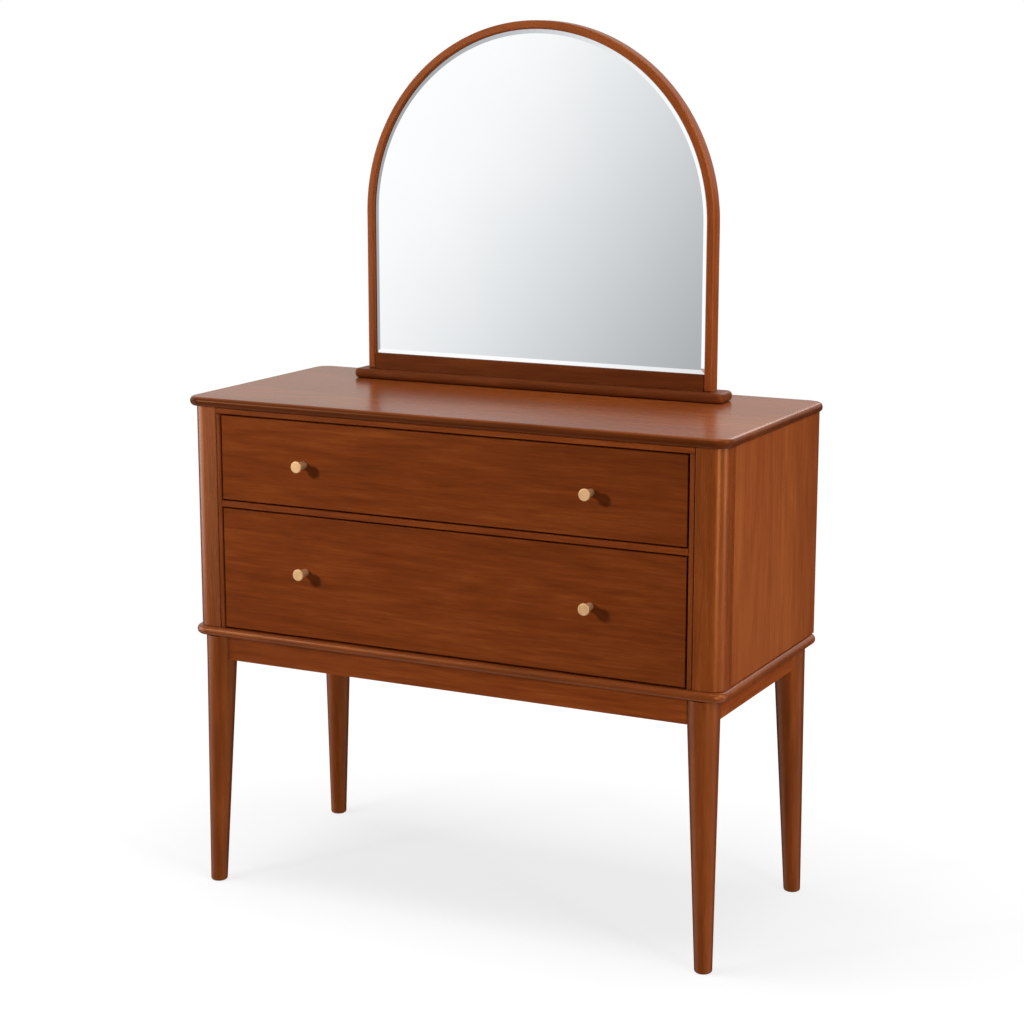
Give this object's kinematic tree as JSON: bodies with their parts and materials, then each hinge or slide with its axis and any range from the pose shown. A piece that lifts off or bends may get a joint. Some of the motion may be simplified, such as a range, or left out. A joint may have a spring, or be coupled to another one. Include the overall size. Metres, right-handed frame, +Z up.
{
  "type": "dresser with mirror",
  "caption": "Wooden chest of drawers on turned tapered legs, with brass knobs and a fixed arched mirror standing on its top.",
  "frame": {"origin": "on the floor, under the middle of the whole object's width and depth", "axes": "+Z up, front and knobs towards -Y, +X to the right seen from the front"},
  "size_m": [0.918, 0.4294, 1.3788],
  "materials": {
    "case": "satin reddish-brown stained wood, upright grain",
    "top": "satin lacquered reddish-brown wood, grain along the width",
    "leg": "satin reddish-brown stained wood, turned",
    "frame": "satin reddish-brown stained wood",
    "front": "satin reddish-brown stained wood, grain along the width",
    "inner_wood": "plain pale hardwood",
    "plywood": "plain pale plywood",
    "knob": "satin brass",
    "fastener": "plain zinc-plated steel",
    "mirror": "silvered bevelled glass"
  },
  "bodies": {
    "cabinet": {"bottom_board": "case", "left_side_panel": "case", "right_side_panel": "case", "left_corner_post": "case", "right_corner_post": "case", "left_face_stile": "case", "right_face_stile": "case", "top_rail": "case", "mid_rail": "case", "front_apron": "case", "back_apron": "case", "left_apron": "case", "right_apron": "case", "top_panel": "top", "front_left_leg": "leg", "front_right_leg": "leg", "back_left_leg": "leg", "back_right_leg": "leg", "mirror_plinth": "frame", "mirror_frame_arch": "frame", "mirror_frame_bottom_rail": "frame", "rear_rail": "inner_wood", "upper_left_runner": "inner_wood", "upper_right_runner": "inner_wood", "lower_left_guide": "inner_wood", "lower_right_guide": "inner_wood", "upper_left_kicker": "inner_wood", "upper_right_kicker": "inner_wood", "front_left_corner_block": "inner_wood", "front_right_corner_block": "inner_wood", "back_left_corner_block": "inner_wood", "back_right_corner_block": "inner_wood", "back_panel": "plywood", "mirror_backing_board": "plywood", "left_mirror_bolt": "fastener", "right_mirror_bolt": "fastener", "mirror_glass": "mirror"},
    "upper_drawer": {"upper_drawer_front": "front", "upper_drawer_left_side": "inner_wood", "upper_drawer_right_side": "inner_wood", "upper_drawer_back": "inner_wood", "upper_drawer_bottom": "plywood", "upper_drawer_left_knob": "knob", "upper_drawer_right_knob": "knob", "upper_drawer_left_knob_screw": "fastener", "upper_drawer_right_knob_screw": "fastener"},
    "lower_drawer": {"lower_drawer_front": "front", "lower_drawer_left_side": "inner_wood", "lower_drawer_right_side": "inner_wood", "lower_drawer_back": "inner_wood", "lower_drawer_bottom": "plywood", "lower_drawer_left_knob": "knob", "lower_drawer_right_knob": "knob", "lower_drawer_left_knob_screw": "fastener", "lower_drawer_right_knob_screw": "fastener"}
  },
  "joints": [
    {"name": "upper_drawer_slide", "type": "slide", "parent": "cabinet", "child": "upper_drawer", "axis": [0, -1, 0], "range_m": [0, 0.25]},
    {"name": "lower_drawer_slide", "type": "slide", "parent": "cabinet", "child": "lower_drawer", "axis": [0, -1, 0], "range_m": [0, 0.25]}
  ]
}
